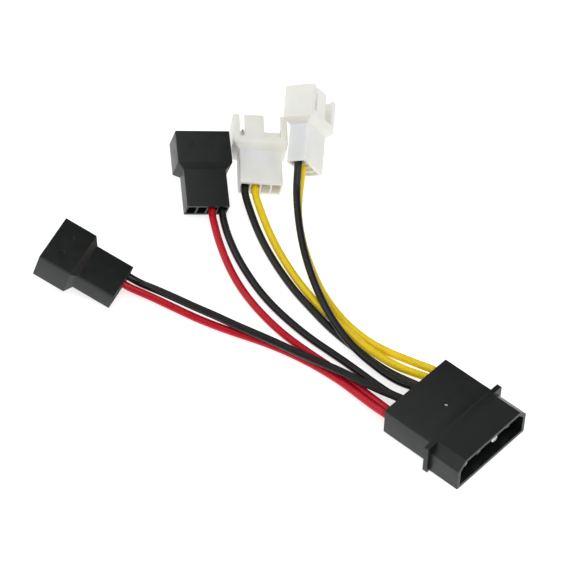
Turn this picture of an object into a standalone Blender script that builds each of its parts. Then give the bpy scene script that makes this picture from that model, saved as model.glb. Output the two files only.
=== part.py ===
"""Fan adapter cable: one four-pin peripheral power plug feeding four fan plugs over eight wires.

Units are metres, +Z is up. The power plug lies flat at the origin and mates towards +X.
"""

import math

import bmesh
import bpy
from mathutils import Euler, Matrix, Vector

MM = 0.001

# Shared clearances
SEAT_GAP = 0.3 * MM
OVERCUT = 1.0 * MM

# Wires
WIRE_DIAMETER = 1.85 * MM
BORE_CLEARANCE = 0.35 * MM
CAVITY_CLEARANCE = 0.2 * MM
WIRE_ENTRY = 3.0 * MM
WIRE_STRAIGHT = 1.6 * MM
WIRE_STEPS = 2

# Power plug: the mating socket at the front
POWER_PINS = ("5v", "ground_a", "ground_b", "12v")
POWER_PITCH = 5.08 * MM
SOCKET_WIDTH = 21.8 * MM
SOCKET_HEIGHT = 6.4 * MM
SOCKET_DEPTH = 8.0 * MM
SOCKET_CHAMFER = 1.75 * MM
SHROUD_WALL = 0.9 * MM
SHROUD_EDGE = 0.35 * MM
GUIDE_RIB_SPACING = 10.9 * MM
GUIDE_RIB_WIDTH = 0.6 * MM
GUIDE_RIB_HEIGHT = 0.45 * MM
FLANGE_THICKNESS = 1.0 * MM

# Power plug: grip ribs at the flange
RIB_THICKNESS = 1.2 * MM
RIB_BEHIND_FLANGE = 0.15 * MM
RIB_PROUD = 0.95 * MM
RIB_INSET = 0.1 * MM
RIB_ROUND = 0.35 * MM

# Power plug: the rear body with one round bore for each terminal
REAR_LENGTH = 13.4 * MM
REAR_SIDE_WALL = 0.83 * MM
REAR_ROOF = 1.7 * MM
REAR_UNDERSIDE = 1.4 * MM
REAR_TOP_ROUND = 0.6 * MM
REAR_LOW_ROUND = 0.5 * MM
SOCKET_FLOOR = 2.5 * MM
GATE_DIMPLE_RADIUS = 0.55 * MM
GATE_DIMPLE_DEPTH = 0.2 * MM
GATE_DIMPLE_FROM_REAR = 8.6 * MM

# Power pins
POWER_PIN_DIAMETER = 2.13 * MM
POWER_PIN_SETBACK = 1.5 * MM
POWER_PIN_TIP = 1.0 * MM
POWER_BARREL_LENGTH = 4.2 * MM
POWER_NECK_LENGTH = 0.8 * MM

# Fan plugs: the mating head
FAN_POSITIONS = 4
FAN_PITCH = 2.54 * MM
HEAD_SOCKET_WIDTH = 11.8 * MM
HEAD_SOCKET_HEIGHT = 6.0 * MM
HEAD_SOCKET_DEPTH = 7.2 * MM
HEAD_WALL = 0.85 * MM
HEAD_FLOOR = 1.8 * MM
HEAD_TO_TAPER = 1.1 * MM
TAPER_LENGTH = 1.4 * MM
POST_WIDTH = 1.7 * MM
NARROW_SLOT = 1.2 * MM
TONGUE_WIDTH = 4.8 * MM
SLOT_DEPTH = 6.4 * MM
MOULD_EDGE = 0.35 * MM

# Fan plugs: the body with one square cavity for each terminal
BODY_LENGTH = 9.8 * MM
BODY_SIDE_WALL = 0.42 * MM
BODY_ROOF = 0.8 * MM
CAVITY_HEIGHT = 3.4 * MM

# Fan pins
FAN_PIN_SIZE = 0.64 * MM
FAN_PIN_SETBACK = 1.0 * MM
FAN_PIN_TIP = 0.7 * MM
FAN_BOX_LENGTH = 3.4 * MM
FAN_BOX_HEIGHT = 2.4 * MM
FAN_NECK_LENGTH = 0.8 * MM

# The leg that a chamfer gains from one side of a wall to the other, per wall thickness
CHAMFER_GAIN = 2 - math.sqrt(2)

# Sizes that follow from those above
POWER_ROW = {name: (i - (len(POWER_PINS) - 1) / 2) * POWER_PITCH for i, name in enumerate(POWER_PINS)}
BORE_RADIUS = WIRE_DIAMETER + BORE_CLEARANCE
CAVITY_WIDTH = WIRE_DIAMETER + CAVITY_CLEARANCE
SHROUD_WIDTH = SOCKET_WIDTH + 2 * SHROUD_WALL
SHROUD_HEIGHT = SOCKET_HEIGHT + 2 * SHROUD_WALL
SHROUD_CHAMFER = SOCKET_CHAMFER + SHROUD_WALL * CHAMFER_GAIN
SHROUD_LENGTH = SOCKET_DEPTH + FLANGE_THICKNESS
POWER_MOUTH = SHROUD_LENGTH / 2
POWER_REAR = POWER_MOUTH - SHROUD_LENGTH - REAR_LENGTH
POWER_AXIS_HEIGHT = SHROUD_HEIGHT / 2
REAR_WIDTH = (len(POWER_PINS) - 1) * POWER_PITCH + 2 * (BORE_RADIUS + REAR_SIDE_WALL)
REAR_LOW = POWER_AXIS_HEIGHT - BORE_RADIUS - REAR_UNDERSIDE
REAR_HIGH = POWER_AXIS_HEIGHT + BORE_RADIUS + REAR_ROOF
HEAD_WIDTH = HEAD_SOCKET_WIDTH + 2 * HEAD_WALL
HEAD_HEIGHT = HEAD_SOCKET_HEIGHT + 2 * HEAD_WALL
HEAD_LENGTH = HEAD_SOCKET_DEPTH + HEAD_TO_TAPER
BODY_WIDTH = (FAN_POSITIONS - 1) * FAN_PITCH + CAVITY_WIDTH + 2 * BODY_SIDE_WALL
BODY_HEIGHT = CAVITY_HEIGHT + 2 * BODY_ROOF
FAN_LENGTH = HEAD_LENGTH + TAPER_LENGTH + BODY_LENGTH

# Where each fan plug lies: the middle of its mouth in millimetres, then yaw, pitch and roll in degrees
FAN_PLUGS = {
    1: {"finish": "black_nylon", "supply": "red_pvc",
        "mouth": (-107.95, -26.95, 8.6), "turn": (-161.4, 17.8, 177.2)},
    2: {"finish": "black_nylon", "supply": "red_pvc",
        "mouth": (-106.95, 22.85, 10.1), "turn": (139.4, 20.9, 189.65)},
    3: {"finish": "white_nylon", "supply": "yellow_pvc",
        "mouth": (-102.45, 39.05, 6.55), "turn": (134.85, 10.4, 6.8)},
    4: {"finish": "white_nylon", "supply": "yellow_pvc",
        "mouth": (-95.15, 50.35, 13.55), "turn": (127.8, 24.6, 66.0)},
}

# Each wire: its fan plug, the power bore it enters, how far it lies sideways and upwards from that bore's
# axis in wire diameters, and its route. The route's points are in millimetres, from the fan plug onwards.
WIRES = {
    "wire_1_ground": {
        "plug": 1, "bore": "ground_a", "share": (-0.49, 0.32),
        "route": [(-88.0, -16.4, 2.05), (-84.7, -15.9, 2.5), (-79.0, -14.9, 2.9), (-73.4, -13.9, 3.1),
                  (-67.9, -12.7, 3.2), (-62.5, -11.6, 3.2), (-57.1, -10.4, 3.3), (-51.8, -9.2, 3.3),
                  (-46.4, -8.1, 3.3), (-41.1, -7.0, 3.4), (-35.4, -5.9, 3.7), (-30.0, -5.15, 4.0),
                  (-24.8, -4.4, 4.3)]},
    "wire_1_supply": {
        "plug": 1, "bore": "5v", "share": (-0.57, -0.05),
        "route": [(-84.3, -17.7, 1.6), (-78.5, -16.3, 1.3), (-72.6, -15.0, 1.1), (-66.9, -13.5, 1.1),
                  (-61.4, -11.7, 1.1), (-56.0, -9.9, 1.2), (-50.5, -8.3, 1.1), (-44.9, -7.2, 1.1),
                  (-39.0, -6.6, 1.2), (-33.2, -6.7, 1.6), (-27.8, -7.4, 2.3), (-22.8, -8.2, 3.2)]},
    "wire_2_ground": {
        "plug": 2, "bore": "ground_a", "share": (0.30, -0.51),
        "route": [(-87.3, 11.3, 1.5), (-84.0, 9.1, 1.6), (-78.0, 5.8, 1.5), (-72.0, 3.3, 1.3),
                  (-66.0, 1.3, 1.2), (-60.1, 0.0, 1.1), (-54.1, -0.9, 1.2), (-48.3, -1.4, 1.3),
                  (-42.7, -1.55, 1.5), (-37.5, -1.65, 1.7), (-32.6, -1.9, 1.9), (-27.8, -2.2, 2.15),
                  (-23.2, -2.35, 2.5)]},
    "wire_2_supply": {
        "plug": 2, "bore": "5v", "share": (0.41, -0.43),
        "route": [(-88.8, 9.3, 1.8), (-85.7, 7.1, 1.7), (-79.8, 3.5, 1.4), (-73.8, 0.5, 1.2),
                  (-67.6, -1.8, 1.1), (-61.4, -3.4, 1.1), (-55.3, -4.4, 1.1), (-49.4, -4.8, 1.1),
                  (-43.7, -4.8, 1.1), (-38.0, -4.65, 1.1), (-32.4, -4.8, 1.3), (-27.0, -5.6, 1.9),
                  (-22.4, -6.3, 2.65)]},
    "wire_3_ground": {
        "plug": 3, "bore": "ground_b", "share": (0.43, -0.43),
        "route": [(-85.3, 18.4, 1.9), (-79.5, 15.1, 1.2), (-73.4, 12.1, 1.1), (-67.1, 9.5, 1.1),
                  (-60.9, 7.4, 1.1), (-54.8, 5.9, 1.1), (-48.8, 4.6, 1.1), (-43.1, 3.9, 1.0),
                  (-37.6, 3.55, 1.0), (-32.4, 3.1, 1.25), (-27.4, 2.95, 1.8), (-22.7, 3.2, 2.6)]},
    "wire_3_supply": {
        "plug": 3, "bore": "12v", "share": (-0.46, -0.43),
        "route": [(-82.9, 19.9, 1.7), (-76.6, 16.4, 1.1), (-70.0, 13.2, 1.1), (-63.3, 10.5, 1.1),
                  (-56.7, 8.5, 1.1), (-50.1, 6.9, 1.3), (-43.3, 5.5, 2.3), (-36.6, 4.2, 3.1),
                  (-31.4, 4.05, 3.35), (-26.6, 4.75, 3.1), (-22.3, 6.1, 3.0)]},
    "wire_4_ground": {
        "plug": 4, "bore": "ground_b", "share": (-0.49, 0.11),
        "route": [(-80.9, 29.7, 5.1), (-76.4, 25.2, 3.9), (-71.2, 20.5, 3.5), (-65.6, 16.0, 3.4),
                  (-59.7, 11.9, 3.4), (-53.8, 8.3, 3.5), (-47.9, 5.3, 3.5), (-42.0, 3.1, 3.4),
                  (-36.4, 1.75, 3.3), (-31.0, 1.15, 3.3), (-26.3, 0.85, 3.5), (-22.6, 1.05, 3.85)]},
    "wire_4_supply": {
        "plug": 4, "bore": "12v", "share": (0.43, 0.31),
        "route": [(-80.9, 30.7, 2.7), (-76.2, 25.4, 1.5), (-70.2, 20.3, 1.3), (-63.8, 15.9, 1.2),
                  (-57.4, 12.2, 1.1), (-50.9, 9.5, 1.1), (-44.5, 7.8, 1.2), (-38.0, 6.9, 1.7),
                  (-32.3, 6.85, 2.5), (-27.2, 7.45, 3.3), (-22.8, 8.05, 4.0)]},
}

MATERIALS = {
    "black_nylon": {"colour": (0.022, 0.025, 0.025), "roughness": 0.42, "metallic": 0.0},
    "white_nylon": {"colour": (0.82, 0.80, 0.73), "roughness": 0.38, "metallic": 0.0},
    "tinned_brass": {"colour": (0.78, 0.76, 0.70), "roughness": 0.25, "metallic": 1.0},
    "black_pvc": {"colour": (0.020, 0.020, 0.020), "roughness": 0.35, "metallic": 0.0},
    "red_pvc": {"colour": (0.50, 0.008, 0.022), "roughness": 0.35, "metallic": 0.0},
    "yellow_pvc": {"colour": (0.78, 0.56, 0.015), "roughness": 0.35, "metallic": 0.0},
}


def clear_scene():
    for thing in list(bpy.data.objects):
        bpy.data.objects.remove(thing, do_unlink=True)


def get_material(name):
    """The named finish as a Principled BSDF material, made once."""
    known = bpy.data.materials.get(name)
    if known:
        return known
    values = MATERIALS[name]
    made = bpy.data.materials.new(name)
    made.use_nodes = True
    surface = made.node_tree.nodes["Principled BSDF"]
    surface.inputs["Base Color"].default_value = (*values["colour"], 1.0)
    surface.inputs["Roughness"].default_value = values["roughness"]
    surface.inputs["Metallic"].default_value = values["metallic"]
    return made


def add_object(name, data, finish=None, parent=None):
    made = bpy.data.objects.new(name, data)
    bpy.context.scene.collection.objects.link(made)
    if finish:
        data.materials.append(get_material(finish))
    if parent:
        made.parent = parent
    return made


def mesh_from(name, shape):
    """Turns a bmesh into mesh data with its faces pointing outwards."""
    bmesh.ops.recalc_face_normals(shape, faces=shape.faces)
    data = bpy.data.meshes.new(name)
    shape.to_mesh(data)
    shape.free()
    return data


def loft(rings):
    """A closed solid through rings that have the same number of points."""
    shape = bmesh.new()
    loops = [[shape.verts.new(point) for point in ring] for ring in rings]
    for first, second in zip(loops, loops[1:]):
        for i, corner in enumerate(first):
            j = (i + 1) % len(first)
            shape.faces.new((corner, first[j], second[j], second[i]))
    shape.faces.new(loops[0])
    shape.faces.new(loops[-1])
    return shape


def box(low, high):
    return loft([[Vector((x, y, z)) for y, z in ((low[1], low[2]), (high[1], low[2]), (high[1], high[2]),
                                                 (low[1], high[2]))] for x in (low[0], high[0])])


def tube_ring(x, half_width, half_height, sides=24):
    """An ellipse across the X axis."""
    angles = [2 * math.pi * i / sides for i in range(sides)]
    return [Vector((x, half_width * math.cos(a), half_height * math.sin(a))) for a in angles]


def corner(centre, size, quarter, is_round, steps):
    """One corner of an outline: an arc, or the straight chamfer between the arc's ends."""
    start = quarter * math.pi / 2
    arc = [(centre[0] + size * math.cos(start + math.pi / 2 * i / steps),
            centre[1] + size * math.sin(start + math.pi / 2 * i / steps)) for i in range(steps + 1)]
    if is_round:
        return arc
    first, last = Vector(arc[0]), Vector(arc[-1])
    return [tuple(first.lerp(last, i / steps)) for i in range(steps + 1)]


def outline(x, width, low, high, low_size, top_size, top_is_round=True, steps=3):
    """A ring across X: rounded low corners, and rounded or chamfered top corners."""
    half = width / 2
    points = corner((half - top_size, high - top_size), top_size, 0, top_is_round, steps)
    points += corner((top_size - half, high - top_size), top_size, 1, top_is_round, steps)
    points += corner((low_size - half, low + low_size), low_size, 2, True, steps)
    points += corner((half - low_size, low + low_size), low_size, 3, True, steps)
    return [Vector((x, y, z)) for y, z in points]


def apply_boolean(target, name, shape, operation):
    """Adds a Boolean with its own helper object, which is left out of renders."""
    helper = add_object(name, mesh_from(name, shape), parent=target.parent)
    helper.hide_render = True
    helper.display_type = "WIRE"
    step = target.modifiers.new(name, "BOOLEAN")
    step.operation = operation
    step.solver = "EXACT"
    step.object = helper


def smooth_sides(thing, angle=40):
    """Shades smooth across gentle edges and keeps the corners sharp."""
    data = thing.data
    data.shade_smooth()
    data.set_sharp_from_angle(angle=math.radians(angle))


def positions(count, pitch):
    return [(i - (count - 1) / 2) * pitch for i in range(count)]


def join_shapes(shapes):
    """Several closed shapes as one bmesh; they don't touch each other."""
    joined = bmesh.new()
    for shape in shapes:
        piece = bpy.data.meshes.new("piece")
        shape.to_mesh(piece)
        shape.free()
        joined.from_mesh(piece)
        bpy.data.meshes.remove(piece)
    return joined


def power_body():
    """The outside of the power plug: rear body, flange and shroud in one loft."""
    rear_rings = [outline(x, REAR_WIDTH, REAR_LOW, REAR_HIGH, REAR_LOW_ROUND, REAR_TOP_ROUND)
                  for x in (POWER_REAR, POWER_MOUTH - SHROUD_LENGTH)]
    front_rings = [outline(x, SHROUD_WIDTH, 0.0, SHROUD_HEIGHT, SHROUD_EDGE, SHROUD_CHAMFER, False)
                   for x in (POWER_MOUTH - SHROUD_LENGTH + SHROUD_EDGE, POWER_MOUTH)]
    return loft(rear_rings + front_rings)


def grip_ribs():
    """The two full-height ribs that stand out of the shroud's sides at its flange."""
    rear = POWER_MOUTH - SHROUD_LENGTH - RIB_BEHIND_FLANGE
    outer = SHROUD_WIDTH / 2 + RIB_PROUD
    inner = SHROUD_WIDTH / 2 - SHROUD_CHAMFER - SHROUD_EDGE
    ribs = []
    for side in (-1, 1):
        rib = loft([outline(x, outer - inner, RIB_INSET, SHROUD_HEIGHT - RIB_INSET, RIB_ROUND, RIB_ROUND)
                    for x in (rear, rear + RIB_THICKNESS)])
        bmesh.ops.translate(rib, vec=(0, side * (outer + inner) / 2, 0), verts=rib.verts)
        ribs.append(rib)
    return join_shapes(ribs)


def power_socket():
    """The space that takes the mating plug: chamfered top corners and two guide ribs under its ceiling."""
    floor = POWER_MOUTH - SOCKET_DEPTH
    low = SHROUD_WALL
    high = SHROUD_WALL + SOCKET_HEIGHT
    half = SOCKET_WIDTH / 2
    right_half = [(half, low), (half, high - SOCKET_CHAMFER), (half - SOCKET_CHAMFER, high)]
    for across, drop in ((1, 0), (1, GUIDE_RIB_HEIGHT), (-1, GUIDE_RIB_HEIGHT), (-1, 0)):
        right_half.append(((GUIDE_RIB_SPACING + across * GUIDE_RIB_WIDTH) / 2, high - drop))
    edges = right_half + [(-y, z) for y, z in reversed(right_half)]
    return loft([[Vector((x, y, z)) for y, z in edges] for x in (floor, POWER_MOUTH + OVERCUT)])


def power_bores():
    """Round bores from the rear, stepping down to the pin holes in the socket's floor."""
    step = POWER_MOUTH - SOCKET_DEPTH - SOCKET_FLOOR
    hole = POWER_PIN_DIAMETER / 2 + SEAT_GAP
    bores = []
    for y in POWER_ROW.values():
        shape = loft([tube_ring(x, radius, radius) for x, radius in (
            (POWER_REAR - OVERCUT, BORE_RADIUS), (step, BORE_RADIUS), (step, hole),
            (step + SOCKET_FLOOR + OVERCUT, hole))])
        bmesh.ops.translate(shape, vec=(0, y, POWER_AXIS_HEIGHT), verts=shape.verts)
        bores.append(shape)
    return join_shapes(bores)


def gate_dimple():
    """The shallow round mark that the mould's gate left on the top."""
    shape = loft([tube_ring(x, GATE_DIMPLE_RADIUS, GATE_DIMPLE_RADIUS, 16)
                  for x in (-OVERCUT, GATE_DIMPLE_DEPTH)])
    bmesh.ops.rotate(shape, matrix=Matrix.Rotation(math.pi / 2, 3, "Y"), verts=shape.verts)
    bmesh.ops.translate(shape, vec=(POWER_REAR + GATE_DIMPLE_FROM_REAR, 0, REAR_HIGH), verts=shape.verts)
    return shape


def power_plug():
    housing = add_object("power_plug_housing", mesh_from("power_plug_housing", power_body()), "black_nylon")
    apply_boolean(housing, "power_rib_helper", grip_ribs(), "UNION")
    apply_boolean(housing, "power_socket_helper", power_socket(), "DIFFERENCE")
    apply_boolean(housing, "power_bore_helper", power_bores(), "DIFFERENCE")
    apply_boolean(housing, "power_dimple_helper", gate_dimple(), "DIFFERENCE")
    smooth_sides(housing, 30)


def power_pin(name):
    """A round contact pin, its locking barrel and the crimp that holds two wires."""
    pin = POWER_PIN_DIAMETER / 2
    barrel = BORE_RADIUS - SEAT_GAP
    tip = POWER_MOUTH - POWER_PIN_SETBACK
    shoulder = POWER_MOUTH - SOCKET_DEPTH - SOCKET_FLOOR - SEAT_GAP
    crimp_front = shoulder - POWER_BARREL_LENGTH - POWER_NECK_LENGTH
    crimp_rear = POWER_REAR + WIRE_ENTRY + SEAT_GAP
    rings = [(tip, pin * 0.35, pin * 0.35), (tip - POWER_PIN_TIP * 0.35, pin * 0.8, pin * 0.8),
             (tip - POWER_PIN_TIP, pin, pin), (shoulder, pin, pin), (shoulder, barrel, barrel),
             (shoulder - POWER_BARREL_LENGTH, barrel, barrel),
             (shoulder - POWER_BARREL_LENGTH, barrel * 0.62, barrel * 0.62),
             (crimp_front, barrel * 0.62, barrel * 0.62), (crimp_front, barrel, barrel * 0.62),
             (crimp_rear, barrel, barrel * 0.62)]
    shape = loft([tube_ring(x, width, height, 16) for x, width, height in rings])
    made = add_object(f"power_pin_{name}", mesh_from(name, shape), "tinned_brass")
    made.location = (0, POWER_ROW[name], POWER_AXIS_HEIGHT)
    smooth_sides(made)


def head_slots():
    """The narrow and the wide slot that leave the tongue standing in one broad wall."""
    first = HEAD_WIDTH / 2 - POST_WIDTH
    second = first - NARROW_SLOT - TONGUE_WIDTH
    low = HEAD_SOCKET_HEIGHT / 2 - HEAD_WALL
    high = HEAD_HEIGHT / 2 + OVERCUT
    spans = [(first - NARROW_SLOT, first), (POST_WIDTH - HEAD_WIDTH / 2, second)]
    return join_shapes([box((-SLOT_DEPTH, y0, low), (OVERCUT, y1, high)) for y0, y1 in spans])


def fan_body():
    """The outside of a fan plug: head, short taper and slimmer body in one loft with broken edges."""
    sections = [(0.0, HEAD_WIDTH, HEAD_HEIGHT), (-HEAD_LENGTH, HEAD_WIDTH, HEAD_HEIGHT),
                (-HEAD_LENGTH - TAPER_LENGTH, BODY_WIDTH, BODY_HEIGHT), (-FAN_LENGTH, BODY_WIDTH, BODY_HEIGHT)]
    return loft([outline(x, width, -height / 2, height / 2, MOULD_EDGE, MOULD_EDGE, steps=1)
                 for x, width, height in sections])


def head_socket():
    half_width = HEAD_SOCKET_WIDTH / 2
    half_height = HEAD_SOCKET_HEIGHT / 2
    return box((-HEAD_SOCKET_DEPTH, -half_width, -half_height), (OVERCUT, half_width, half_height))


def terminal_cavities():
    """Square cavities from the rear, stepping down to the pin holes in the head's floor."""
    step = -HEAD_SOCKET_DEPTH - HEAD_FLOOR
    hole = FAN_PIN_SIZE / 2 + SEAT_GAP / 2
    sections = [(-FAN_LENGTH - OVERCUT, CAVITY_WIDTH / 2, CAVITY_HEIGHT / 2),
                (step, CAVITY_WIDTH / 2, CAVITY_HEIGHT / 2), (step, hole, hole),
                (OVERCUT - HEAD_SOCKET_DEPTH, hole, hole)]
    cavities = []
    for y in positions(FAN_POSITIONS, FAN_PITCH):
        cavities.append(loft([[Vector((x, y + side * w, rise * h)) for side, rise in
                               ((-1, -1), (1, -1), (1, 1), (-1, 1))] for x, w, h in sections]))
    return join_shapes(cavities)


def fan_pin(name, y, parent):
    """A square contact pin, its locking box and the crimp behind it."""
    pin = FAN_PIN_SIZE / 2
    width = CAVITY_WIDTH / 2 - SEAT_GAP
    height = FAN_BOX_HEIGHT / 2
    tip = -FAN_PIN_SETBACK
    shoulder = -HEAD_SOCKET_DEPTH - HEAD_FLOOR - SEAT_GAP
    neck = shoulder - FAN_BOX_LENGTH
    crimp = neck - FAN_NECK_LENGTH
    rear = WIRE_ENTRY + SEAT_GAP - FAN_LENGTH
    sections = [(tip, pin * 0.4, pin * 0.4), (tip - FAN_PIN_TIP, pin, pin), (shoulder, pin, pin),
                (shoulder, width, height), (neck, width, height), (neck, width * 0.6, height * 0.5),
                (crimp, width * 0.6, height * 0.5), (crimp, width, width), (rear, width, width)]
    shape = loft([[Vector((x, side * w, rise * h)) for side, rise in ((-1, -1), (1, -1), (1, 1), (-1, 1))]
                  for x, w, h in sections])
    made = add_object(name, mesh_from(name, shape), "tinned_brass", parent)
    made.location = (0, y, 0)


def plug_matrix(number):
    """Where a fan plug's own frame lies: +X out of its mouth, +Z to the slotted side, +Y to pin 1."""
    place = FAN_PLUGS[number]
    yaw, pitch, roll = (math.radians(angle) for angle in place["turn"])
    turn = Euler((roll, -pitch, yaw), "XYZ").to_matrix().to_4x4()
    return Matrix.Translation(Vector(place["mouth"]) * MM) @ turn


def fan_plug(number):
    finish = FAN_PLUGS[number]["finish"]
    carrier = bpy.data.objects.new(f"fan_plug_{number}", None)
    bpy.context.scene.collection.objects.link(carrier)
    carrier.matrix_world = plug_matrix(number)
    name = f"fan_plug_{number}_housing"
    housing = add_object(name, mesh_from(name, fan_body()), finish, carrier)
    apply_boolean(housing, f"fan_{number}_socket_helper", head_socket(), "DIFFERENCE")
    apply_boolean(housing, f"fan_{number}_slot_helper", head_slots(), "DIFFERENCE")
    apply_boolean(housing, f"fan_{number}_cavity_helper", terminal_cavities(), "DIFFERENCE")
    smooth_sides(housing, 30)
    rows = positions(FAN_POSITIONS, FAN_PITCH)
    fan_pin(f"fan_plug_{number}_pin_ground", rows[-1], carrier)
    fan_pin(f"fan_plug_{number}_pin_supply", rows[-2], carrier)


def smooth_route(points, steps):
    """Points on a centripetal Catmull-Rom curve through the route's points."""
    ends = [2 * points[0] - points[1], *points, 2 * points[-1] - points[-2]]
    curve = []
    for before, start, stop, after in zip(ends, ends[1:], ends[2:], ends[3:]):
        knots = [0.0]
        for a, b in ((before, start), (start, stop), (stop, after)):
            knots.append(knots[-1] + math.sqrt((b - a).length))
        t0, t1, t2, t3 = knots
        for i in range(steps):
            t = t1 + (t2 - t1) * i / steps
            a1 = before.lerp(start, (t - t0) / (t1 - t0))
            a2 = start.lerp(stop, (t - t1) / (t2 - t1))
            a3 = stop.lerp(after, (t - t2) / (t3 - t2))
            b1 = a1.lerp(a2, (t - t0) / (t2 - t0))
            b2 = a2.lerp(a3, (t - t1) / (t3 - t1))
            curve.append(b1.lerp(b2, (t - t1) / (t2 - t1)))
    return curve + [points[-1]]


def wire_points(name):
    """The whole route in metres: out of the plug's cavity, along the hand-chosen points, into its bore."""
    wire = WIRES[name]
    row = -1 if name.endswith("ground") else -2
    y = positions(FAN_POSITIONS, FAN_PITCH)[row]
    plug = plug_matrix(wire["plug"])
    start = [plug @ Vector((x - FAN_LENGTH, y, 0)) for x in (WIRE_ENTRY, 0, -WIRE_STRAIGHT)]
    side, lift = wire["share"]
    bore_y = POWER_ROW[wire["bore"]] + side * WIRE_DIAMETER
    bore_z = POWER_AXIS_HEIGHT + lift * WIRE_DIAMETER
    stop = [Vector((POWER_REAR + x, bore_y, bore_z)) for x in (-WIRE_STRAIGHT, 0, WIRE_ENTRY)]
    return start + [Vector(point) * MM for point in wire["route"]] + stop


def add_wire(name):
    wire = WIRES[name]
    finish = "black_pvc" if name.endswith("ground") else FAN_PLUGS[wire["plug"]]["supply"]
    points = smooth_route(wire_points(name), WIRE_STEPS)
    data = bpy.data.curves.new(name, "CURVE")
    data.dimensions = "3D"
    data.bevel_depth = WIRE_DIAMETER / 2
    data.bevel_resolution = 2
    data.use_fill_caps = True
    spline = data.splines.new("POLY")
    spline.points.add(len(points) - 1)
    for knot, point in zip(spline.points, points):
        knot.co = (*point, 1.0)
        knot.radius = 1.0
    add_object(name, data, finish)


def main():
    clear_scene()
    power_plug()
    for name in POWER_PINS:
        power_pin(name)
    for number in FAN_PLUGS:
        fan_plug(number)
    for name in WIRES:
        add_wire(name)


main()
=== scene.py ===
"""The looks of the fan adapter cable: moulded housings, tinned contacts and vinyl wires.

Shapes are modelled in millimetres and placed in the part's frame, which is in metres with +Z up.
"""

import math

import bmesh
import bpy
from mathutils import Euler, Matrix, Vector


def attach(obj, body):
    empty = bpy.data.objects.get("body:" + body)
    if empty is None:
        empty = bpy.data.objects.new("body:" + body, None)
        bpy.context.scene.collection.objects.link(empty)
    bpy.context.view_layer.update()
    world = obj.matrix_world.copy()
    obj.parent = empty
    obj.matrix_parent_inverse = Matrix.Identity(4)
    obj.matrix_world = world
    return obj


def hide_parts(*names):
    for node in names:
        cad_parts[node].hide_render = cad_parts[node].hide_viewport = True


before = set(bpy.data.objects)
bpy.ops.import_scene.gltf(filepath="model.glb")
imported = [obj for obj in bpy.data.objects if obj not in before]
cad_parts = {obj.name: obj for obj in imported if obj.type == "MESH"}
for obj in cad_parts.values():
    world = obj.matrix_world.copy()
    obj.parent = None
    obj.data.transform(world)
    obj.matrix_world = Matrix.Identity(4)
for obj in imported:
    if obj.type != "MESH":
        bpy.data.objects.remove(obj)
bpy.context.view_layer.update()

MM = 0.001
TO_METRES = Matrix.Scale(MM, 4)
SQUARE = ((-1, -1), (1, -1), (1, 1), (-1, 1))

# Sizes in millimetres, as the CAD solids have them where both have the form
WIRE = 1.85
WIRE_ENTRY = 3.0
WIRE_STRAIGHT = 1.6
# How far a cutting tool reaches past the face that it cuts
PAST = 1

# The power plug: X is along its pins with the mouth in front, Y across them, Z up
MOUTH_X = 4.5
POWER_REAR = MOUTH_X - 22.4
FLANGE_X = MOUTH_X - 9.0
REAR_WIDTH = 21.3
REAR_LOW = 0.5
REAR_TOP = 8.0
REAR_LOW_CORNER = 0.5
REAR_TOP_CORNER = 0.6
SHROUD_WIDTH = 23.6
SHROUD_HEIGHT = 8.2
SHROUD_CORNER = 0.35
SHROUD_CHAMFER = 2.277
# The soft step from the body's top to the shroud's: places along X and the top's height there
BODY_STEP = ((FLANGE_X - 2.6, REAR_TOP), (FLANGE_X - 0.25, 8.08))
SHROUD_STEP = ((FLANGE_X + 0.35, 8.13), (FLANGE_X + 2.7, SHROUD_HEIGHT))
RIB_WIDTH = 3.577
RIB_MIDDLE = 10.962
RIB_LOW = 0.1
RIB_TOP = 8.1
RIB_CORNER = 0.35
RIB_FACES = (FLANGE_X - 0.15, FLANGE_X + 1.05)
MOUTH_DEPTH = 8
# Half of the mouth's outline: low corner, side wall, chamfer, roof and the notch of a guide
MOUTH_HALF = [(10.9, 0.9), (10.9, 5.55), (9.15, 7.3), (5.75, 7.3), (5.75, 6.85), (5.15, 6.85), (5.15, 7.3)]
BORES = {"5v": -7.62, "ground_a": -2.54, "ground_b": 2.54, "12v": 7.62}
POWER_AXIS = 4.1
BORE_RADIUS = 2.2
BORE_END = MOUTH_X - 10.5
PIN_HOLE_RADIUS = 1.365
PIN_RADIUS = 1.065
PIN_TIP = MOUTH_X - 1.5
PIN_SHOULDER = MOUTH_X - 10.8
BARREL_RADIUS = BORE_RADIUS - 0.3
WAIST_RADIUS = BARREL_RADIUS * 0.62
BORE_SIDES = 48
PIN_SIDES = 40
# Each pin's tip: how blunt it is, from a dome at 0 to a flat end at 1, and how far forward it sits
PIN_TIPS = {"5v": (0.45, 0.15), "ground_a": (0.25, 0.0), "ground_b": (0.75, 0.25), "12v": (0.25, 0.0)}
# The dimple of the gate on top
GATE_X = POWER_REAR + 8.6
GATE_RADIUS = 0.55
GATE_DEPTH = 0.16

# A fan plug: its mouth is at X = 0 and its body behind it, Y is across its pins
FAN_LENGTH = 19.5
FAN_PITCH = 2.54
FAN_ROWS = [(i - 1.5) * FAN_PITCH for i in range(4)]
# The two rows that hold a contact; the other two cavities are empty
CONTACT_ROWS = {"ground": FAN_ROWS[3], "supply": FAN_ROWS[2]}
FAN_EDGE = 0.35
HEAD_LENGTH = 8.3
HEAD_WIDTH = 13.5
HEAD_HEIGHT = 7.7
TAPER_LENGTH = 1.4
BODY_WIDTH = 10.51
BODY_HEIGHT = 5.0
# The head's socket: its depth, half its width and half its height
HEAD_SOCKET = (7.2, 5.9, 3.0)
# The slots in one broad side of the head, from Y to Y, with the tongue between them
SLOTS = ((3.85, 5.05), (-5.05, -0.95))
SLOT_DEPTH = 6.4
SLOT_FLOOR = 2.15
SLOT_ROOF = 4.9
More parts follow.
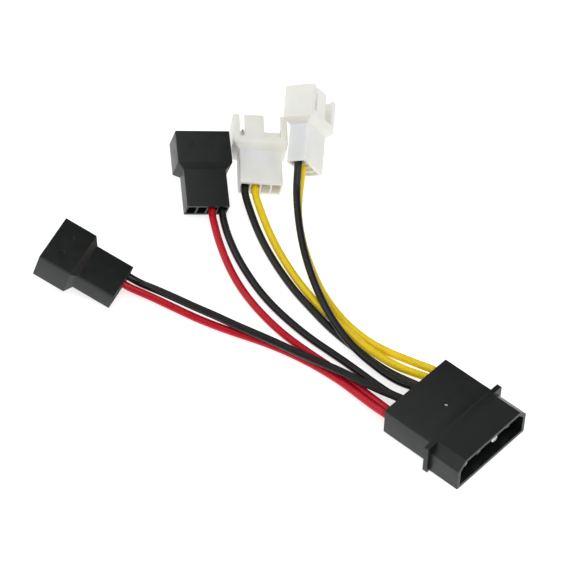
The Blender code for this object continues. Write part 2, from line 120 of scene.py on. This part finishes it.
# Width and height of a cavity, where it ends, and half the width of the contact's hole in front of it
CAVITY = (2.05, 3.4)
CAVITY_END = -9.0
CONTACT_HOLE = 0.47
# The two round marks on the head's closed side
MARK_X = -3.8
MARK_SPREAD = 2.4
MARK_RADIUS = 0.6
MARK_DEPTH = 0.22

# Each fan plug: finish, supply colour, middle of its mouth, then yaw, pitch and roll in degrees
FAN_PLUGS = {
    1: ("black_nylon", "red_pvc", (-107.95, -26.95, 8.6), (-161.4, 17.8, 177.2)),
    2: ("black_nylon", "red_pvc", (-106.95, 22.85, 10.1), (139.4, 20.9, 189.65)),
    3: ("white_nylon", "yellow_pvc", (-102.45, 39.05, 6.55), (134.85, 10.4, 6.8)),
    4: ("white_nylon", "yellow_pvc", (-95.15, 50.35, 13.55), (127.8, 24.6, 66.0)),
}

# Each wire: fan plug, power bore, its place in the bore in wire diameters, and the route to the power plug
WIRES = {
    "wire_1_ground": (1, "ground_a", (-0.49, 0.32), [
        (-88.0, -16.4, 2.05), (-84.7, -15.9, 2.5), (-79.0, -14.9, 2.9), (-73.4, -13.9, 3.1),
        (-67.9, -12.7, 3.2), (-62.5, -11.6, 3.2), (-57.1, -10.4, 3.3), (-51.8, -9.2, 3.3),
        (-46.4, -8.1, 3.3), (-41.1, -7.0, 3.4), (-35.4, -5.9, 3.7), (-30.0, -5.15, 4.0),
        (-24.8, -4.4, 4.3)]),
    "wire_1_supply": (1, "5v", (-0.57, -0.05), [
        (-84.3, -17.7, 1.6), (-78.5, -16.3, 1.3), (-72.6, -15.0, 1.1), (-66.9, -13.5, 1.1),
        (-61.4, -11.7, 1.1), (-56.0, -9.9, 1.2), (-50.5, -8.3, 1.1), (-44.9, -7.2, 1.1),
        (-39.0, -6.6, 1.2), (-33.2, -6.7, 1.6), (-27.8, -7.4, 2.3), (-22.8, -8.2, 3.2)]),
    "wire_2_ground": (2, "ground_a", (0.3, -0.51), [
        (-87.3, 11.3, 1.5), (-84.0, 9.1, 1.6), (-78.0, 5.8, 1.5), (-72.0, 3.3, 1.3), (-66.0, 1.3, 1.2),
        (-60.1, 0.0, 1.1), (-54.1, -0.9, 1.2), (-48.3, -1.4, 1.3), (-42.7, -1.55, 1.5),
        (-37.5, -1.65, 1.7), (-32.6, -1.9, 1.9), (-27.8, -2.2, 2.15), (-23.2, -2.35, 2.5)]),
    "wire_2_supply": (2, "5v", (0.41, -0.43), [
        (-88.8, 9.3, 1.8), (-85.7, 7.1, 1.7), (-79.8, 3.5, 1.4), (-73.8, 0.5, 1.2), (-67.6, -1.8, 1.1),
        (-61.4, -3.4, 1.1), (-55.3, -4.4, 1.1), (-49.4, -4.8, 1.1), (-43.7, -4.8, 1.1),
        (-38.0, -4.65, 1.1), (-32.4, -4.8, 1.3), (-27.0, -5.6, 1.9), (-22.4, -6.3, 2.65)]),
    "wire_3_ground": (3, "ground_b", (0.43, -0.43), [
        (-85.3, 18.4, 1.9), (-79.5, 15.1, 1.2), (-73.4, 12.1, 1.1), (-67.1, 9.5, 1.1),
        (-60.9, 7.4, 1.1), (-54.8, 5.9, 1.1), (-48.8, 4.6, 1.1), (-43.1, 3.9, 1.0), (-37.6, 3.55, 1.0),
        (-32.4, 3.1, 1.25), (-27.4, 2.95, 1.8), (-22.7, 3.2, 2.6)]),
    "wire_3_supply": (3, "12v", (-0.46, -0.43), [
        (-82.9, 19.9, 1.7), (-76.6, 16.4, 1.1), (-70.0, 13.2, 1.1), (-63.3, 10.5, 1.1),
        (-56.7, 8.5, 1.1), (-50.1, 6.9, 1.3), (-43.3, 5.5, 2.3), (-36.6, 4.2, 3.1), (-31.4, 4.05, 3.35),
        (-26.6, 4.75, 3.1), (-22.3, 6.1, 3.0)]),
    "wire_4_ground": (4, "ground_b", (-0.49, 0.11), [
        (-80.9, 29.7, 5.1), (-76.4, 25.2, 3.9), (-71.2, 20.5, 3.5), (-65.6, 16.0, 3.4),
        (-59.7, 11.9, 3.4), (-53.8, 8.3, 3.5), (-47.9, 5.3, 3.5), (-42.0, 3.1, 3.4), (-36.4, 1.75, 3.3),
        (-31.0, 1.15, 3.3), (-26.3, 0.85, 3.5), (-22.6, 1.05, 3.85)]),
    "wire_4_supply": (4, "12v", (0.43, 0.31), [
        (-80.9, 30.7, 2.7), (-76.2, 25.4, 1.5), (-70.2, 20.3, 1.3), (-63.8, 15.9, 1.2),
        (-57.4, 12.2, 1.1), (-50.9, 9.5, 1.1), (-44.5, 7.8, 1.2), (-38.0, 6.9, 1.7), (-32.3, 6.85, 2.5),
        (-27.2, 7.45, 3.3), (-22.8, 8.05, 4.0)]),
}

# The camera that took the photo: place in millimetres, then yaw, elevation and roll in degrees
CAMERA_PLACE = (211.5, -311.5, 446.5)
CAMERA_ANGLES = (40.80, 46.62, 2.11)
CAMERA_LENS = 163.35

# Square lights: place in metres, side and power
LIGHT_TARGET = (-0.05, 0.0, 0.0)
LIGHTS = {
    "overhead": ((-0.05, 0.0, 1.2), 0.9, 2.5),
    "front": ((0.35, -0.42, 1.0), 0.8, 4.6),
    "left": ((-0.95, -0.4, 0.6), 0.7, 2.4),
    "right": ((0.75, 0.6, 0.6), 0.7, 3.0),
    "front_left": ((-0.55, -0.85, 0.65), 0.6, 1.6),
    "far_left": ((-1.0, 0.4, 0.95), 1.1, 3.2),
    "low": ((0.55, -0.8, 0.35), 0.7, 1.7),
}
FLOOR_HALF = 3.0
FLOOR_PLACE = (-0.05, 0.0, -0.00003)


# Meshes

def add_object(name, data):
    made = bpy.data.objects.new(name, data)
    bpy.context.scene.collection.objects.link(made)
    return made


def mesh_from(name, shape):
    """Mesh data in millimetres, with faces pointing outwards."""
    bmesh.ops.recalc_face_normals(shape, faces=shape.faces)
    data = bpy.data.meshes.new(name)
    shape.to_mesh(data)
    shape.free()
    return data


def loft(rings):
    """A closed solid through rings with equal numbers of points."""
    shape = bmesh.new()
    loops = [[shape.verts.new(point) for point in ring] for ring in rings]
    for first, second in zip(loops, loops[1:]):
        for i in range(len(first)):
            j = (i + 1) % len(first)
            shape.faces.new((first[i], first[j], second[j], second[i]))
    shape.faces.new(loops[0])
    shape.faces.new(loops[-1])
    return shape


def box(low, high):
    square = ((low[1], low[2]), (high[1], low[2]), (high[1], high[2]), (low[1], high[2]))
    return loft([[Vector((x, y, z)) for y, z in square] for x in (low[0], high[0])])


def square_loft(y, sections):
    """A closed solid along X through rectangles given as (x, half width, half height)."""
    return loft([[Vector((x, y + a * wide, b * tall)) for a, b in SQUARE] for x, wide, tall in sections])


def ellipse(x, half_width, half_height, sides, y=0.0, z=0.0):
    angles = [2 * math.pi * i / sides for i in range(sides)]
    return [Vector((x, y + half_width * math.cos(a), z + half_height * math.sin(a))) for a in angles]


def corner(centre, size, quarter, is_round, steps=6):
    start = quarter * math.pi / 2
    arc = [(centre[0] + size * math.cos(start + math.pi / 2 * i / steps),
            centre[1] + size * math.sin(start + math.pi / 2 * i / steps)) for i in range(steps + 1)]
    if is_round:
        return arc
    first, last = Vector(arc[0]), Vector(arc[-1])
    return [tuple(first.lerp(last, i / steps)) for i in range(steps + 1)]


def outline(x, width, low, high, low_size, top_size, top_is_round=True):
    """A ring across X with rounded low corners and rounded or chamfered top ones."""
    half = width / 2
    points = corner((half - top_size, high - top_size), top_size, 0, top_is_round)
    points += corner((top_size - half, high - top_size), top_size, 1, top_is_round)
    points += corner((low_size - half, low + low_size), low_size, 2, True)
    points += corner((half - low_size, low + low_size), low_size, 3, True)
    return [Vector((x, y, z)) for y, z in points]


def disc_cutter(x, y, z, radius, depth, sides=40):
    """The tool for a shallow round recess in a face across Z, as far outside the face as inside it."""
    rings = [[Vector((x + radius * math.cos(2 * math.pi * i / sides),
                      y + radius * math.sin(2 * math.pi * i / sides), level))
              for i in range(sides)] for level in (z - depth, z + depth)]
    return loft(rings)


def shape_with(base, steps):
    """Cuts and joins closed shapes in turn, and gives the finished mesh."""
    target = add_object("target", mesh_from("target", base))
    tools = []
    for operation, shape in steps:
        tool = add_object("tool", mesh_from("tool", shape))
        change = target.modifiers.new("step", "BOOLEAN")
        change.operation = operation
        change.solver = "EXACT"
        change.object = tool
        tools.append(tool)
    bpy.context.view_layer.update()
    ready = target.evaluated_get(bpy.context.evaluated_depsgraph_get())
    data = bpy.data.meshes.new_from_object(ready)
    for thing in [target, *tools]:
        bpy.data.objects.remove(thing)
    return data


def round_edges(thing, width, angle=28, segments=3):
    """Moulded edges: a small rounding wherever two faces meet at an angle."""
    thing.data.shade_smooth()
    rounding = thing.modifiers.new("edges", "BEVEL")
    rounding.width = width * MM
    rounding.segments = segments
    rounding.limit_method = "ANGLE"
    rounding.angle_limit = math.radians(angle)
    rounding.miter_outer = "MITER_ARC"
    rounding.harden_normals = True


# Materials

def new_material(name, colour, roughness, metallic=0.0):
    made = bpy.data.materials.new(name)
    made.use_nodes = True
    surface = made.node_tree.nodes["Principled BSDF"]
    surface.inputs["Base Color"].default_value = (*colour, 1.0)
    surface.inputs["Roughness"].default_value = roughness
    surface.inputs["Metallic"].default_value = metallic
    return made, made.node_tree, surface


def noise(tree, scale, detail=3.0, stretch=(1, 1, 1)):
    """Noise in the piece's own coordinates; scale is in features per metre."""
    place = tree.nodes.new("ShaderNodeTexCoord")
    mapping = tree.nodes.new("ShaderNodeMapping")
    mapping.inputs["Scale"].default_value = stretch
    texture = tree.nodes.new("ShaderNodeTexNoise")
    texture.inputs["Scale"].default_value = scale
    texture.inputs["Detail"].default_value = detail
    tree.links.new(place.outputs["Object"], mapping.inputs["Vector"])
    tree.links.new(mapping.outputs["Vector"], texture.inputs["Vector"])
    return texture.outputs["Fac"]


def ramp(tree, source, *stops):
    """A blend between two stops, each given as (position, colour)."""
    made = tree.nodes.new("ShaderNodeValToRGB")
    for element, (position, colour) in zip(made.color_ramp.elements, stops):
        element.position = position
        element.color = colour
    tree.links.new(source, made.inputs["Fac"])
    return made.outputs["Color"]


def grey(value):
    return (value, value, value, 1.0)


def vary_colour(tree, surface, scale, first, second):
    tint = ramp(tree, noise(tree, scale), (0.35, (*first, 1.0)), (0.65, (*second, 1.0)))
    tree.links.new(tint, surface.inputs["Base Color"])


def vary_roughness(tree, surface, scale, low, high):
    level = ramp(tree, noise(tree, scale, detail=1.5), (0.3, grey(low)), (0.7, grey(high)))
    tree.links.new(level, surface.inputs["Roughness"])


def add_bump(tree, surface, layers):
    """Stacks bumps given as (height source, depth in metres, strength)."""
    normal = None
    for source, depth, strength in layers:
        bump = tree.nodes.new("ShaderNodeBump")
        bump.inputs["Distance"].default_value = depth
        bump.inputs["Strength"].default_value = strength
        tree.links.new(source, bump.inputs["Height"])
        if normal:
            tree.links.new(normal, bump.inputs["Normal"])
        normal = bump.outputs["Normal"]
    tree.links.new(normal, surface.inputs["Normal"])


def black_nylon():
    made, tree, surface = new_material("black_nylon", (0.006, 0.008, 0.008), 0.32)
    surface.inputs["Specular IOR Level"].default_value = 0.4
    vary_colour(tree, surface, 260, (0.0048, 0.0066, 0.0064), (0.0064, 0.0086, 0.0083))
    vary_roughness(tree, surface, 420, 0.34, 0.42)
    add_bump(tree, surface, [(noise(tree, 1400, 1.0), 0.00001, 0.08),
                             (noise(tree, 220, 1.0), 0.00008, 0.16)])
    return made


def painted_glint_nylon():
    # Pale grey with dark and light speckle: a painted highlight, the glint on the gate stub, not a colour of
    # the nylon itself
    made, tree, surface = new_material("painted_glint_nylon", (0.35, 0.36, 0.33), 0.6)
    vary_colour(tree, surface, 6000, (0.12, 0.13, 0.12), (0.75, 0.76, 0.70))
    return made


def white_nylon():
    made, tree, surface = new_material("white_nylon", (0.86, 0.857, 0.805), 0.34)
    vary_colour(tree, surface, 180, (0.84, 0.837, 0.78), (0.88, 0.877, 0.83))
    vary_roughness(tree, surface, 420, 0.28, 0.40)
    add_bump(tree, surface, [(noise(tree, 7000, 2.0), 0.00002, 0.2),
                             (noise(tree, 260), 0.00008, 0.10)])
    surface.inputs["Subsurface Weight"].default_value = 0.55
    surface.inputs["Subsurface Radius"].default_value = (1.0, 0.85, 0.55)
    surface.inputs["Subsurface Scale"].default_value = 0.0018
    return made


def tinned_brass():
    made, tree, surface = new_material("tinned_brass", (0.78, 0.76, 0.70), 0.24, 1.0)
    vary_colour(tree, surface, 700, (0.74, 0.71, 0.64), (0.82, 0.80, 0.75))
    vary_roughness(tree, surface, 1500, 0.16, 0.34)
    add_bump(tree, surface, [(noise(tree, 5000, 3.0, (0.2, 1, 1)), 0.00001, 0.4)])
    return made


def vinyl(name, dark, light):
    made, tree, surface = new_material(name, light, 0.3)
    vary_colour(tree, surface, 350, dark, light)
    vary_roughness(tree, surface, 600, 0.24, 0.34)
    add_bump(tree, surface, [(noise(tree, 2500, 1.0), 0.00001, 0.12),
                             (noise(tree, 240, 1.0), 0.0001, 0.12)])
    surface.inputs["Specular IOR Level"].default_value = 0.3
    return made


def make_materials():
    return {
        "black_nylon": black_nylon(),
        "painted_glint_nylon": painted_glint_nylon(),
        "white_nylon": white_nylon(),
        "tinned_brass": tinned_brass(),
        "black_pvc": vinyl("black_pvc", (0.007, 0.007, 0.007), (0.010, 0.010, 0.010)),
        "red_pvc": vinyl("red_pvc", (0.46, 0.002, 0.013), (0.53, 0.003, 0.018)),
        "yellow_pvc": vinyl("yellow_pvc", (0.84, 0.59, 0.003), (0.90, 0.66, 0.005)),
    }


def dress(thing, material, nodes):
    """Finishes a piece: its material, its body, and the CAD solids that it stands for."""
    thing.data.materials.clear()
    thing.data.materials.append(material)
    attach(thing, "root")
    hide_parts(*nodes)


# The power plug

def power_shell():
    """The moulding, cut by its mouth, bores and gate dimple; its top rises softly from body to shroud."""
    rings = [outline(x, REAR_WIDTH, REAR_LOW, top, REAR_LOW_CORNER, REAR_TOP_CORNER)
             for x, top in ((POWER_REAR, REAR_TOP), *BODY_STEP)]
    for x, top in (*SHROUD_STEP, (MOUTH_X, SHROUD_HEIGHT)):
        chamfer = SHROUD_CHAMFER - (SHROUD_HEIGHT - top)
        rings.append(outline(x, SHROUD_WIDTH, 0.0, top, SHROUD_CORNER, chamfer, False))
    steps = []
    for side in (-1, 1):
        rib = loft([outline(x, RIB_WIDTH, RIB_LOW, RIB_TOP, RIB_CORNER, RIB_CORNER) for x in RIB_FACES])
        bmesh.ops.translate(rib, vec=(0, side * RIB_MIDDLE, 0), verts=rib.verts)
        steps.append(("UNION", rib))
    mouth = MOUTH_HALF + [(-y, z) for y, z in reversed(MOUTH_HALF)]
    steps.append(("DIFFERENCE", loft([[Vector((x, y, z)) for y, z in mouth]
                                      for x in (MOUTH_X - MOUTH_DEPTH, MOUTH_X + PAST)])))
    for y in BORES.values():
        bore = [(POWER_REAR - PAST, BORE_RADIUS), (BORE_END, BORE_RADIUS), (BORE_END, PIN_HOLE_RADIUS),
                (MOUTH_X - MOUTH_DEPTH + PAST, PIN_HOLE_RADIUS)]
        steps.append(("DIFFERENCE", loft([ellipse(x, r, r, BORE_SIDES, y, POWER_AXIS) for x, r in bore])))
    steps.append(("DIFFERENCE", disc_cutter(GATE_X, 0.0, REAR_TOP, GATE_RADIUS, GATE_DEPTH)))
    return shape_with(loft(rings), steps)


def power_pin(y, blunt, forward):
    """A rolled round pin with a domed tip, its locking barrel and the crimp behind it."""
    tip = PIN_TIP + forward
    rings = [(tip - (1 - blunt) * (1 - math.cos(a)), PIN_RADIUS * (blunt + (1 - blunt) * math.sin(a)), None)
             for a in [math.pi / 2 * i / 8 for i in range(9)]]
    rings += [(PIN_SHOULDER, PIN_RADIUS, None), (PIN_SHOULDER - 0.05, BARREL_RADIUS, None),
              (PIN_SHOULDER - 4.2, BARREL_RADIUS, None), (PIN_SHOULDER - 4.3, WAIST_RADIUS, None),
              (PIN_SHOULDER - 4.9, WAIST_RADIUS, None), (PIN_SHOULDER - 5.2, BARREL_RADIUS, WAIST_RADIUS),
              (POWER_REAR + WIRE_ENTRY + 0.3, BARREL_RADIUS, WAIST_RADIUS)]
    return loft([ellipse(x, width, height or width, PIN_SIDES, y, POWER_AXIS) for x, width, height in rings])


def make_gate_stub(material):
    """The torn end of the sprue, standing in its dimple and leaning forward, coloured pale grey as a painted
    highlight for the glint on the gate.
    """
    middle, stretch = GATE_X + 0.2, 1.5
    angles = [math.pi * i / 8 for i in range(16)]
    rings = [[Vector((middle + lean + stretch * r * math.cos(a), r * math.sin(a), z)) for a in angles]
             for r, z, lean in ((0.3, REAR_TOP - 0.2, 0.0), (0.24, 8.02, 0.05), (0.1, 8.1, 0.12))]
    data = mesh_from("power_plug_gate", loft(rings))
    data.transform(TO_METRES)
    data.shade_smooth()
    stub = add_object("power_plug_gate", data)
    data.materials.append(material)
    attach(stub, "root")


def make_power_plug(materials):
    data = power_shell()
    data.transform(TO_METRES)
    shell = add_object("power_plug_shell", data)
    round_edges(shell, 0.22)
    dress(shell, materials["black_nylon"], ["power_plug_housing"])
    make_gate_stub(materials["painted_glint_nylon"])
    for name, y in BORES.items():
        data = mesh_from(f"power_contact_{name}", power_pin(y, *PIN_TIPS[name]))
        data.transform(TO_METRES)
        pin = add_object(f"power_contact_{name}", data)
        round_edges(pin, 0.05, angle=40, segments=2)
        dress(pin, materials["tinned_brass"], [f"power_pin_{name}"])


# The fan plugs

def fan_shell():
    """One fan plug's moulding: head, taper and body, cut by its socket, slots, cavities and marks."""
    sections = [(0.0, HEAD_WIDTH, HEAD_HEIGHT), (-HEAD_LENGTH, HEAD_WIDTH, HEAD_HEIGHT),
                (-HEAD_LENGTH - TAPER_LENGTH, BODY_WIDTH, BODY_HEIGHT),
                (-FAN_LENGTH, BODY_WIDTH, BODY_HEIGHT)]
    body = loft([outline(x, width, -height / 2, height / 2, FAN_EDGE, FAN_EDGE)
                 for x, width, height in sections])
    depth, half_width, half_height = HEAD_SOCKET
    steps = [("DIFFERENCE", box((-depth, -half_width, -half_height), (PAST, half_width, half_height)))]
    for low, high in SLOTS:
        steps.append(("DIFFERENCE", box((-SLOT_DEPTH, low, SLOT_FLOOR), (PAST, high, SLOT_ROOF))))
    wide, tall = CAVITY[0] / 2, CAVITY[1] / 2
    for y in FAN_ROWS:
        steps.append(("DIFFERENCE", square_loft(y, [
            (-FAN_LENGTH - PAST, wide, tall), (CAVITY_END, wide, tall),
            (CAVITY_END, CONTACT_HOLE, CONTACT_HOLE), (PAST - depth, CONTACT_HOLE, CONTACT_HOLE)])))
    for y in (-MARK_SPREAD, MARK_SPREAD):
        steps.append(("DIFFERENCE", disc_cutter(MARK_X, y, -HEAD_HEIGHT / 2, MARK_RADIUS, MARK_DEPTH)))
    return shape_with(body, steps)


def fan_pin(y):
    """A square post with a chamfered tip, its locking box and crimp."""
    post, box_half = 0.32, 0.725
    return square_loft(y, [
        (-1.8, 0.13, 0.13), (-2.5, post, post), (-9.3, post, post), (-9.3, box_half, 1.2),
        (-12.7, box_half, 1.2), (-12.7, 0.44, 0.6), (-13.5, 0.44, 0.6), (-13.5, box_half, box_half),
        (-16.2, box_half, box_half)])


def plug_matrix(number):
    """Where a fan plug lies, in metres."""
    place, angles = FAN_PLUGS[number][2:]
    yaw, pitch, roll = (math.radians(angle) for angle in angles)
    return Matrix.Translation(Vector(place) * MM) @ Euler((roll, -pitch, yaw), "XYZ").to_matrix().to_4x4()


def make_fan_plugs(materials):
    shell = fan_shell()
    for number, (finish, *_) in FAN_PLUGS.items():
        data = shell.copy()
        data.transform(plug_matrix(number) @ TO_METRES)
        housing = add_object(f"fan_plug_{number}_shell", data)
        round_edges(housing, 0.14)
        dress(housing, materials[finish], [f"fan_plug_{number}_housing"])
        for kind, y in CONTACT_ROWS.items():
            data = mesh_from(f"fan_contact_{number}_{kind}", fan_pin(y))
            data.transform(plug_matrix(number) @ TO_METRES)
            pin = add_object(f"fan_contact_{number}_{kind}", data)
            round_edges(pin, 0.04, angle=40, segments=2)
            dress(pin, materials["tinned_brass"], [f"fan_plug_{number}_pin_{kind}"])


# The wires

def smooth_route(points, steps):
    """Points on a centripetal Catmull-Rom curve through the route's points."""
    ends = [2 * points[0] - points[1], *points, 2 * points[-1] - points[-2]]
    curve = []
    for before, start, stop, after in zip(ends, ends[1:], ends[2:], ends[3:]):
        knots = [0.0]
        for a, b in ((before, start), (start, stop), (stop, after)):
            knots.append(knots[-1] + math.sqrt((b - a).length))
        t0, t1, t2, t3 = knots
        for i in range(steps):
            t = t1 + (t2 - t1) * i / steps
            a1 = before.lerp(start, (t - t0) / (t1 - t0))
            a2 = start.lerp(stop, (t - t1) / (t2 - t1))
            a3 = stop.lerp(after, (t - t2) / (t3 - t2))
            b1 = a1.lerp(a2, (t - t0) / (t2 - t0))
            b2 = a2.lerp(a3, (t - t1) / (t3 - t1))
            curve.append(b1.lerp(b2, (t - t1) / (t2 - t1)))
    return curve + [points[-1]]


def relax(points, rounds):
    """Evens out the bends a little, and keeps both straight ends where they are."""
    held = 4
    for _ in range(rounds):
        points = [p if i < held or i >= len(points) - held else (points[i - 1] + 2 * p + points[i + 1]) / 4
                  for i, p in enumerate(points)]
    return points


def wire_path(name):
    """A wire's centreline in metres, from inside its fan plug to inside its power bore."""
    number, bore, (side, lift), route = WIRES[name]
    y = CONTACT_ROWS[name.rsplit("_", 1)[1]]
    plug = plug_matrix(number)
    start = [plug @ (Vector((x - FAN_LENGTH, y, 0)) * MM) for x in (WIRE_ENTRY, 0, -WIRE_STRAIGHT)]
    bore_y = BORES[bore] + side * WIRE
    bore_z = POWER_AXIS + lift * WIRE
    stop = [Vector((POWER_REAR + x, bore_y, bore_z)) * MM for x in (-WIRE_STRAIGHT, 0, WIRE_ENTRY)]
    return relax(smooth_route(start + [Vector(point) * MM for point in route] + stop, steps=8), rounds=6)


def sweep(path, radius, sides=20):
    """A tube along the path whose jacket shows a faint lay of the strands inside."""
    shape = bmesh.new()
    lay = 14.0 * MM
    ridges = 7
    ridge_height = 0.004
    travelled = 0.0
    direction = (path[1] - path[0]).normalized()
    across = direction.orthogonal().normalized()
    loops = []
    for i, point in enumerate(path):
        ahead = path[min(i + 1, len(path) - 1)] - path[max(i - 1, 0)]
        turned = ahead.normalized()
        across = direction.rotation_difference(turned) @ across
        direction = turned
        up = direction.cross(across)
        if i:
            travelled += (point - path[i - 1]).length
        ring = []
        for k in range(sides):
            angle = 2 * math.pi * k / sides
            swell = 1 + ridge_height * math.cos(ridges * angle - 2 * math.pi * travelled / lay)
            outwards = math.cos(angle) * across + math.sin(angle) * up
            ring.append(shape.verts.new(point + radius * swell * outwards))
        loops.append(ring)
    for first, second in zip(loops, loops[1:]):
        for k in range(sides):
            j = (k + 1) % sides
            shape.faces.new((first[k], first[j], second[j], second[k]))
    shape.faces.new(loops[0])
    shape.faces.new(loops[-1])
    return shape


def make_wires(materials):
    for name in WIRES:
        finish = "black_pvc" if name.endswith("ground") else FAN_PLUGS[WIRES[name][0]][1]
        path = wire_path(name)
        data = mesh_from(name + "_jacket", sweep(path, WIRE / 2 * MM))
        data.shade_smooth()
        data.set_sharp_from_angle(angle=math.radians(50))
        wire = add_object(name + "_jacket", data)
        dress(wire, materials[finish], [name])


# The stage

def look_from(eye, yaw, elevation, roll):
    """The camera's matrix: yaw to the left of looking along +Y, elevation down, roll in the picture."""
    yaw, elevation, roll = (math.radians(angle) for angle in (yaw, elevation, roll))
    forward = Vector((-math.sin(yaw) * math.cos(elevation), math.cos(yaw) * math.cos(elevation),
                      -math.sin(elevation)))
    level = Vector((math.cos(yaw), math.sin(yaw), 0))
    right = level * math.cos(roll) - forward.cross(level) * math.sin(roll)
    up = right.cross(forward)
    turn = Matrix((right, up, -forward)).transposed().to_4x4()
    return Matrix.Translation(Vector(eye) * MM) @ turn


def make_camera():
    data = bpy.data.cameras.new("camera")
    data.sensor_width = 36
    data.lens = CAMERA_LENS
    data.clip_start = 0.01
    camera = add_object("camera", data)
    camera.matrix_world = look_from(CAMERA_PLACE, *CAMERA_ANGLES)
    bpy.context.scene.camera = camera


def area_light(name, place, size, power):
    """A square light that points at the middle of the cable."""
    data = bpy.data.lights.new(name, "AREA")
    data.shape = "RECTANGLE"
    data.size = data.size_y = size
    data.energy = power
    light = add_object(name, data)
    light.location = place
    light.rotation_euler = (Vector(LIGHT_TARGET) - Vector(place)).to_track_quat("-Z", "Y").to_euler()


def make_stage():
    shape = bmesh.new()
    bmesh.ops.create_grid(shape, x_segments=1, y_segments=1, size=FLOOR_HALF)
    floor = add_object("floor", mesh_from("floor", shape))
    floor.location = FLOOR_PLACE
    made, tree, surface = new_material("floor", (0.62, 0.62, 0.62), 0.6)
    surface.inputs["Specular IOR Level"].default_value = 0.2
    surface.inputs["Emission Color"].default_value = (1.0, 1.0, 1.0, 1.0)
    surface.inputs["Emission Strength"].default_value = 0.7
    vary_colour(tree, surface, 6, (0.61, 0.61, 0.61), (0.63, 0.63, 0.63))
    floor.data.materials.append(made)

    world = bpy.data.worlds.new("studio")
    world.use_nodes = True
    background = world.node_tree.nodes["Background"]
    background.inputs["Color"].default_value = (1.0, 1.0, 1.0, 1.0)
    background.inputs["Strength"].default_value = 0.1
    bpy.context.scene.world = world
    for name, (place, size, power) in LIGHTS.items():
        area_light(name, place, size, power)
    bpy.context.scene.view_settings.view_transform = "Standard"


def main():
    make_camera()
    materials = make_materials()
    make_power_plug(materials)
    make_fan_plugs(materials)
    make_wires(materials)
    make_stage()


main()
